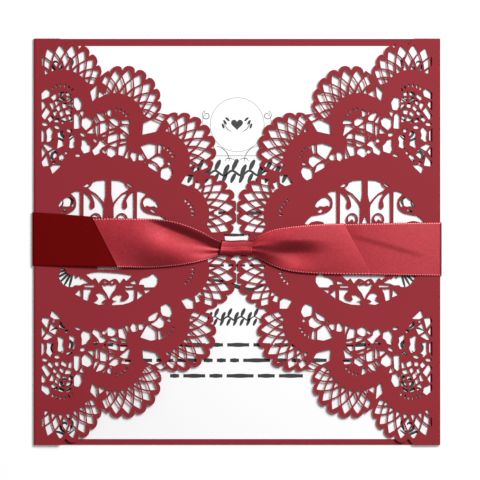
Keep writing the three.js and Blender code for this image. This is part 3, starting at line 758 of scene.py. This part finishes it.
# %% Round the folds and across the back
def turn(side, low, high):
    """The band round one fold of the cover, from its face to its back."""
    radius = (FACE - UNDER) / 2
    rows = []
    for k in range(9):
        a = math.pi * k / 8
        x = side * (SIDE - 0.5 + 0.5 * math.sin(a))
        z = (FACE + UNDER) / 2 + radius * math.cos(a)
        rows.append((x, low, z, x, high, z, 0))
    return rows


left_turn = turn(-1, *LEFT_EDGES)
right_turn = turn(1, *RIGHT_EDGES)
back = [(side * (SIDE - 0.5), low, UNDER, side * (SIDE - 0.5), high, UNDER, 0)
        for side, low, high in ((-1, *LEFT_EDGES), (1, *RIGHT_EDGES))]
print("the ribbon is", round(LEFT_EDGES[1] - LEFT_EDGES[0], 1), "mm wide at the left fold")

# %% Lay the strips and give them their thickness
SATIN = 0.00016
rib_mesh = bpy.data.meshes.new("ribbon")
bm = bmesh.new()
uv = bm.loops.layers.uv.new("ribbon")
# The band left of the knot and its turn round the fold take the darker satin: painted shade.
strip(bm, uv, band_left, 80, 24, shaded=True)
strip(bm, uv, tail_left, 150, 64, left_gather)
strip(bm, uv, band_right, 120, 48, crease)
strip(bm, uv, tail_right, 150, 64, right_hollow)
strip(bm, uv, left_turn, 24, 24, shaded=True)
strip(bm, uv, right_turn, 24, 48)
strip(bm, uv, back, 60, 24)
bm.to_mesh(rib_mesh)
bm.free()
ribbon = bpy.data.objects.new("ribbon", rib_mesh)
bpy.context.collection.objects.link(ribbon)
bpy.ops.object.select_all(action="DESELECT")
ribbon.select_set(True)
bpy.context.view_layer.objects.active = ribbon
bpy.ops.object.modifier_add(type="SOLIDIFY")
ribbon.modifiers[-1].thickness = SATIN
ribbon.modifiers[-1].offset = 0
bpy.ops.object.modifier_apply(modifier=ribbon.modifiers[-1].name)
print("ribbon:", len(ribbon.data.polygons), "faces", [round(d * 1000, 1) for d in ribbon.dimensions])

# %% [markdown]
# ## The knot
# The knot is the ribbon wrapped once round the gathered strands. Its section is drawn from the far side
# over the top: a soft shoulder, a shallow trough, a ridge and a steep near side that falls into shade. A
# box could be rounded off instead, but one drawn section that runs along the knot shows the wrap better.

# %% The knot
# Each point of the section is y and z in millimetres
SECTION = [(0.55, 0.3), (0.5, 1.4), (0.2, 2.05), (-0.8, 2.2), (-2.0, 2.2), (-3.0, 2.42), (-3.8, 2.3),
           (-4.4, 1.95), (-5.0, 1.2), (-5.1, 0.2)]
ROWS = 36  # steps along the knot
RING = 48  # steps round it
WRAP = 0.0105  # length of ribbon once round the knot, in metres
LEFT_END = -6.1  # the knot's ends, halfway down its face
RIGHT_END = 5.6
knot_mesh = bpy.data.meshes.new("knot")
bm = bmesh.new()
uv = bm.loops.layers.uv.new("ribbon")
rings = []
for r in range(ROWS + 1):
    t = r / ROWS
    flare = 1 + 0.05 * abs(2 * t - 1) ** 5
    ring = []
    for c in range(RING + 1):
        y, z = smooth(SECTION, c / RING)
        left = LEFT_END + 0.21 * (y + 2.2)
        right = RIGHT_END + 0.12 * (y + 2.2)
        x = left + (right - left) * t
        z = z * flare
        ring.append(bm.verts.new(Vector((x, y * flare + 0.1 * math.sin(0.8 * x), FACE + z)) * MM))
    rings.append(ring)
for r in range(ROWS):
    for c in range(RING):
        corners = ((r, c), (r, c + 1), (r + 1, c + 1), (r + 1, c))
        face = bm.faces.new([rings[i][j] for i, j in corners])
        face.smooth = True
        for loop, (i, j) in zip(face.loops, corners):
            loop[uv].uv = (j * WRAP / RING, 0.06 + 0.88 * i / ROWS)
    face = bm.faces.new((rings[r][RING], rings[r][0], rings[r + 1][0], rings[r + 1][RING]))
bm.faces.new(rings[0])
bm.faces.new(list(reversed(rings[-1])))
bmesh.ops.recalc_face_normals(bm, faces=bm.faces)
bm.to_mesh(knot_mesh)
bm.free()
knot = bpy.data.objects.new("ribbon_knot", knot_mesh)
bpy.context.collection.objects.link(knot)
print("knot:", len(knot_mesh.polygons), "faces")

# %% The ribbon's place in the model
for part in (ribbon, knot):
    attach(part, "root")
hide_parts("satin_ribbon")
print("ribbon and knot stand for one length of satin, 430 mm by", round(0.0198 * 1000, 1), "mm")

# %% [markdown]
# ## The printed card
# The card inside carries black print that shows through the lace: a ring with a heart, two vines, leafy
# scrolls and rows of plain bars. It could be a picture on the card, but real shapes stay sharp from close
# by. A brush helper lays a tapered stroke through a few points, and a blob helper fills an outline.

# %% The brush and the blob
insert = next(o for o in bpy.data.objects if o.name == "insert_card")
INK_Z = max((insert.matrix_world @ v.co).z for v in insert.data.vertices) + 0.00001
ink = bmesh.new()
grey_ink = bmesh.new()
laid = 0


def ink_height():
    """Each stroke lies a hair above the one before, so that crossings stay clean."""
    global laid
    laid = (laid + 1) % 7
    return INK_Z + laid * 0.000003


def brush(bm, points, width, tip=0.15, steps=8):
    """A stroke through grid points, wide in the middle and drawn out to tip at both ends."""
    count = steps * (len(points) - 1)
    z = ink_height()
    middle = [Vector(smooth(points, k / count)) for k in range(count + 1)]
    edges = []
    for k, p in enumerate(middle):
        along = middle[min(k + 1, count)] - middle[max(k - 1, 0)]
        side = Vector((-along.y, along.x)).normalized()
        half = width / 2 * max(tip, math.sin(math.pi * k / count) ** 0.6)
        edges.append([bm.verts.new((*at(*(p + side * s * half)), z)) for s in (-1, 1)])
    for (a, b), (c, d) in zip(edges, edges[1:]):
        bm.faces.new((a, b, d, c))


def blob(bm, points):
    """A filled outline of grid points."""
    z = ink_height()
    bm.faces.new([bm.verts.new((*at(x, y), z)) for x, y in points])


print("the ink lies", round(INK_Z * 1000, 3), "mm up")


# %% Arcs and mirror images
def arc(x, y, r0, r1, a0, a1, steps=14):
    """Points of a circle or spiral on the grid."""
    out = []
    for k in range(steps + 1):
        t = k / steps
        a = math.radians(a0 + (a1 - a0) * t)
        r = r0 + (r1 - r0) * t
        out.append((x + r * math.cos(a), y - r * math.sin(a)))
    return out


def twin(points, axis):
    """The mirror image of grid points about an upright axis."""
    return [(2 * axis - x, y) for x, y in points]


print("an arc has", len(arc(0, 0, 1, 1, 0, 360)), "points")

# %% A ring and a flourish
brush(grey_ink, arc(237.2, 124.5, 27, 27, 0, 360, 36), 0.8, 1, 3)
brush(grey_ink, [(216, 155.6), (237, 155.6), (257, 155.6)], 1.0, 1)
for axis in (0, 1):
    lines = [
        arc(206.3, 115.3, 1.2, 4.7, 200, -250, 22) + [(202.4, 122), (203.5, 126)],
        [(216.5, 146), (222, 148), (227, 153), (229.2, 159), (228.6, 161.5)],
        [(225, 161.6), (226.4, 158.8), (230.5, 158.2), (234.5, 160.2)],
        [(212, 143), (213.8, 147.4), (215.4, 150.4)],
    ]
    for line in lines:
        brush(ink, twin(line, 236.8) if axis else line, 0.75, 0.5, 4)
brush(ink, arc(236.6, 161, 1.9, 1.9, 90, 450, 12), 0.7, 1, 3)
print("flourish:", len(ink.faces), "faces")


# %% A heart with leaves
def heart(x, y, size):
    """A closed heart from the usual curve."""
    out = []
    for k in range(40):
        t = 2 * math.pi * k / 40
        up = 13 * math.cos(t) - 5 * math.cos(2 * t) - 2 * math.cos(3 * t) - math.cos(4 * t)
        out.append((x + size / 2 * math.sin(t) ** 3, y - size / 32 * up))
    return out


def leaf(bm, x, y, length, angle, width=0.32):
    """A pointed leaf from its foot at x, y."""
    a = math.radians(angle)
    tip = (x + length * math.cos(a), y - length * math.sin(a))
    brush(bm, [(x, y), ((x + tip[0]) / 2, (y + tip[1]) / 2 - 0.04 * length), tip], length * width, 0.03, 6)


blob(ink, heart(MIDDLE_X, 124, 12))
for side in (-1, 1):
    for k, (out, up) in enumerate([(7.5, 2), (10.5, -1.5), (13, -5.5)]):
        leaf(ink, MIDDLE_X + side * out, 124 - up - 1, 5.6, 90 - side * (48 - 14 * k), 0.42)
    stem = [(MIDDLE_X + side * 5.5, 131.5), (MIDDLE_X + side * 10, 128.5), (MIDDLE_X + side * 13.5, 122)]
    brush(ink, stem, 0.8, 0.3)
print("with the heart:", len(ink.faces), "faces")


# %% Two vines
def vine(x0, x1, y, size, step):
    """A wavy stem with leaves to both sides."""
    n = int((x1 - x0) / step)
    stem = [(x0 + k * step, y + size * 0.12 * (-1) ** k) for k in range(n + 1)]
    brush(ink, stem, size * 0.12, 0.6, 5)
    for k, (x, sy) in enumerate(stem[:-1]):
        leaf(ink, x, sy, size * 0.62, 64, 0.36)
        leaf(ink, x + step * 0.4, y, size * 0.56, -116, 0.36)


vine(172, 302, 173, 20, 8.6)
vine(208, 262, 318.5, 15, 6.6)
print("with the vines:", len(ink.faces), "faces")

# %% Rows of bars
lengths = random.Random(12)


def row_of_bars(x0, x1, y, high):
    """A row of plain round-ended bars of uneven length."""
    x = x0
    while x < x1:
        long = min(lengths.choice([9, 13, 17, 22, 27]), x1 - x)
        if long > 3:
            brush(ink, [(x, y), (x + long / 2, y), (x + long, y)], high, 0.8)
        x += long + 4.2


for x0, x1, y, high in [(192, 284, 213, 3.6), (205, 270, 235, 3.0), (202, 268, 265.5, 3.0),
                        (86, 395, 345, 4.2), (125, 350, 360.5, 4.2), (170, 303, 376, 4.2)]:
    row_of_bars(x0, x1, y, high)
brush(ink, [(207, 279.5), (222, 281.5), (238, 287), (252, 289.5), (268, 283)], 4.2, 0.3)
print("with the bars:", len(ink.faces), "faces")

# %% Two columns of leafy scrolls behind the lace
for axis in (0, 1):
    for k, y in enumerate([64, 94, 113, 132, 155, 178, 203, 322, 347, 382, 402, 426]):
        sway = 5 if k % 2 else -4
        curl = arc(60 + sway, y, 1.5, 7.2, 20, 330 if k % 3 else 400, 18)
        strokes = [curl, [(50, y + 9), (57, y + 6), (66, y + 9), (74, y + 4)],
                   [(67, y - 8), (72, y - 3), (70, y + 4)]]
        for points, width in zip(strokes, (3.0, 2.6, 3.4)):
            brush(ink, twin(points, MIDDLE_X) if axis else points, width, 0.2, 4)
    for k in range(6):
        a = math.radians(180 + 15 * k)
        rib = [(74 + r * math.cos(a), 268 - r * math.sin(a)) for r in (5, 13, 21)]
        brush(ink, twin(rib, MIDDLE_X) if axis else rib, 2.6, 0.3, 5)
print("with the scrolls:", len(ink.faces), "faces")


# %% From strokes to pieces
def ink_piece(name, bm):
    """A piece of print from its strokes, with all its faces up."""
    bmesh.ops.recalc_face_normals(bm, faces=bm.faces)
    if sum(f.normal.z for f in bm.faces) < 0:
        bmesh.ops.reverse_faces(bm, faces=bm.faces)
    mesh = bpy.data.meshes.new(name)
    bm.to_mesh(mesh)
    bm.free()
    obj = bpy.data.objects.new(name, mesh)
    bpy.context.collection.objects.link(obj)
    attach(obj, "root")
    return obj


print_black = ink_piece("black_print", ink)
print_grey = ink_piece("grey_print", grey_ink)
print("print:", len(print_black.data.polygons), "faces")

# %% [markdown]
# ## Finishes
# The card is dyed in the pulp, so it is one colour with a faint fibre, and its cut edges are scorched
# darker by the laser. Satin is smooth thread that lies one way: most of its colour is in the gloss, so it
# is dark where it turns from the lamp and bright where it faces it. Small loops of thread edge it. All of
# it could be painted on, but nodes stay sharp at any distance and need no picture.

# %% A plain material and its noise
def material(name, roughness, metallic=0.0):
    """A material with one shader, its node tree and that shader."""
    mat = bpy.data.materials.new(name)
    mat.use_nodes = True
    shader = mat.node_tree.nodes["Principled BSDF"]
    shader.inputs["Roughness"].default_value = roughness
    shader.inputs["Metallic"].default_value = metallic
    return mat, mat.node_tree, shader


def noise_on(tree, scale, detail=3):
    """Noise fixed to the object."""
    coords = tree.nodes.new("ShaderNodeTexCoord")
    n = tree.nodes.new("ShaderNodeTexNoise")
    n.inputs["Scale"].default_value = scale
    n.inputs["Detail"].default_value = detail
    tree.links.new(coords.outputs["Object"], n.inputs["Vector"])
    return n.outputs["Fac"]


print("materials so far:", len(bpy.data.materials))


# %% Sums, blends and relief
def math_node(tree, operation, a, b=None):
    """One step of arithmetic on numbers or sockets."""
    n = tree.nodes.new("ShaderNodeMath")
    n.operation = operation
    for socket, value in zip(n.inputs, (a, b)):
        if isinstance(value, (int, float)):
            socket.default_value = value
        elif value is not None:
            tree.links.new(value, socket)
    return n.outputs[0]


def blend(tree, share, a, b):
    """A colour between a and b."""
    n = tree.nodes.new("ShaderNodeMix")
    n.data_type = "RGBA"
    tree.links.new(share, n.inputs[0])
    for socket, value in ((n.inputs[6], a), (n.inputs[7], b)):
        if isinstance(value, tuple):
            socket.default_value = (*value, 1)
        else:
            tree.links.new(value, socket)
    return n.outputs[2]


def raised(tree, shader, height, strength, distance):
    """A small relief from a height."""
    n = tree.nodes.new("ShaderNodeBump")
    n.inputs["Strength"].default_value = strength
    n.inputs["Distance"].default_value = distance
    tree.links.new(height, n.inputs["Height"])
    tree.links.new(n.outputs[0], shader.inputs["Normal"])


print("materials so far:", len(bpy.data.materials))

# %% Red card
red_card, nt, shader = material("red_card", 0.62)
fibre = noise_on(nt, 2600, 4)
dyed = blend(nt, noise_on(nt, 60), (0.243, 0.0145, 0.023), (0.272, 0.0185, 0.029))
flecked = blend(nt, fibre, dyed, (0.29, 0.022, 0.033))
geometry = nt.nodes.new("ShaderNodeNewGeometry")
split = nt.nodes.new("ShaderNodeSeparateXYZ")
nt.links.new(geometry.outputs["True Normal"], split.inputs[0])
flat_share = nt.nodes.new("ShaderNodeMapRange")
flat_share.inputs["From Min"].default_value = 0.3
flat_share.inputs["From Max"].default_value = 0.7
nt.links.new(math_node(nt, "ABSOLUTE", split.outputs["Z"]), flat_share.inputs["Value"])
nt.links.new(blend(nt, flat_share.outputs[0], (0.11, 0.006, 0.009), flecked), shader.inputs["Base Color"])
raised(nt, shader, fibre, 0.12, 0.00004)
shader.inputs["Specular IOR Level"].default_value = 0.14
cover.data.materials.append(red_card)
print("red card:", len(nt.nodes), "nodes")

# %% White card and inks
white_card, nt, shader = material("white_card", 0.55)
fibre = noise_on(nt, 1800, 4)
nt.links.new(blend(nt, fibre, (0.94, 0.94, 0.955), (0.97, 0.97, 0.98)), shader.inputs["Base Color"])
raised(nt, shader, fibre, 0.08, 0.00003)
insert.data.materials.clear()
insert.data.materials.append(white_card)
for piece, name, thin, full in [(print_black, "black_ink", (0.02, 0.02, 0.022), (0.008, 0.008, 0.009)),
                                (print_grey, "grey_ink", (0.50, 0.51, 0.52), (0.40, 0.41, 0.42))]:
    inked, nt, shader = material(name, 0.5)
    nt.links.new(blend(nt, noise_on(nt, 1500), thin, full), shader.inputs["Base Color"])
    raised(nt, shader, noise_on(nt, 2400), 0.05, 0.00002)
    piece.data.materials.append(inked)
    print(name + ":", len(nt.nodes), "nodes")

# %% Thread and edge loops of the satin
LOOP = 0.00088  # length of one edge loop
WEFT = 0.00022  # length of one crosswise thread
red_satin, nt, shader = material("red_satin", 0.52, 0.9)
uvs = nt.nodes.new("ShaderNodeUVMap")
uvs.uv_map = "ribbon"
split = nt.nodes.new("ShaderNodeSeparateXYZ")
nt.links.new(uvs.outputs[0], split.inputs[0])
along, across = split.outputs["X"], split.outputs["Y"]
from_middle = math_node(nt, "ABSOLUTE", math_node(nt, "SUBTRACT", across, 0.5))
at_edge = math_node(nt, "GREATER_THAN", from_middle, 0.470)
beat = math_node(nt, "SINE", math_node(nt, "MULTIPLY", along, 2 * math.pi / LOOP))
edge_loops_and_highlights = math_node(nt, "MULTIPLY", at_edge, math_node(nt, "GREATER_THAN", beat, 0.05))
threads = blend(nt, noise_on(nt, 1100, 2), (0.24, 0.0070, 0.0135), (0.39, 0.023, 0.038))
# The edge loops are real thread; their lighter colour is a painted highlight where they catch the lamp.
nt.links.new(blend(nt, edge_loops_and_highlights, threads, (0.74, 0.16, 0.19)), shader.inputs["Base Color"])
weft = math_node(nt, "SINE", math_node(nt, "MULTIPLY", along, 2 * math.pi / WEFT))
raised(nt, shader, math_node(nt, "ADD", weft, edge_loops_and_highlights), 0.12, 0.00003)
print("red satin:", len(nt.nodes), "nodes")

# %% The satin's gloss
tangent = nt.nodes.new("ShaderNodeTangent")
tangent.direction_type = "UV_MAP"
tangent.uv_map = "ribbon"
nt.links.new(tangent.outputs[0], shader.inputs["Tangent"])
shader.inputs["Anisotropic"].default_value = 0.4
shader.inputs["Coat Weight"].default_value = 0.16
shader.inputs["Coat Roughness"].default_value = 0.36
shader.inputs["Coat IOR"].default_value = 1.8
knot.data.materials.append(red_satin)
ribbon.data.materials.append(red_satin)
print("gloss laid on", ribbon.name, "and", knot.name)

# %% The satin in painted shade, matt and darker
# Painted shade: a darker, matt copy of the satin for the band left of the knot and its turn.
shaded_satin, nt, shader = material("shaded_satin", 0.75)
nt.links.new(blend(nt, noise_on(nt, 1100, 2), (0.122, 0.0016, 0.0018), (0.154, 0.0026, 0.0028)),
             shader.inputs["Base Color"])
raised(nt, shader, noise_on(nt, 3500, 2), 0.08, 0.00002)
shader.inputs["Specular IOR Level"].default_value = 0.02
ribbon.data.materials.append(shaded_satin)
print("materials:", [m.name for m in bpy.data.materials])

# %% [markdown]
# ## Camera, floor and light
# The photograph looks straight down, from so far away that the square stays square. A large lamp to the
# upper right gives the soft shadows that fall down and to the left. The table is a plain pale plane that
# glows a little, which keeps it white round the card without a second lamp.

# %% Camera
HEIGHT = 0.9
PICTURE = 480  # squares across the picture
SENSOR = 36
camera = bpy.data.objects.new("camera", bpy.data.cameras.new("camera"))
bpy.context.collection.objects.link(camera)
middle = at(PICTURE / 2, PICTURE / 2)
camera.location = (middle.x, middle.y, HEIGHT + GATE_Z)
camera.data.sensor_width = SENSOR
camera.data.lens = SENSOR * HEIGHT / (PICTURE * SQUARE)
camera.data.clip_end = 10
bpy.context.scene.camera = camera
print("lens", round(camera.data.lens, 1), "mm")

# %% Floor
floor_mat = bpy.data.materials.new("white_table")
floor_mat.use_nodes = True
nt = floor_mat.node_tree
shader = nt.nodes["Principled BSDF"]
shader.inputs["Base Color"].default_value = (0.92, 0.92, 0.92, 1)
shader.inputs["Roughness"].default_value = 0.9
shader.inputs["Emission Color"].default_value = (1, 1, 1, 1)
shader.inputs["Emission Strength"].default_value = 0.16
bpy.ops.mesh.primitive_plane_add(size=3, location=(0, 0, 0))
floor = bpy.context.object
floor.name = "table"
floor.data.materials.append(floor_mat)
print("floor", [round(side, 2) for side in floor.dimensions])

# %% Lamp and world
key = bpy.data.objects.new("key", bpy.data.lights.new("key", "AREA"))
key.data.energy = 7.0
key.data.size = 0.30
key.location = (0.275, 0.262, 0.752)
key.rotation_euler = (Vector((0, 0, 0)) - key.location).to_track_quat("-Z", "Y").to_euler()
bpy.context.collection.objects.link(key)
world = bpy.data.worlds.new("studio")
bpy.context.scene.world = world
world.use_nodes = True
world.node_tree.nodes["Background"].inputs["Color"].default_value = (1, 1, 1, 1)
world.node_tree.nodes["Background"].inputs["Strength"].default_value = 0.21
bpy.context.scene.view_settings.view_transform = "Standard"
print("lamp", key.data.energy, "W from", [round(v, 3) for v in key.location])
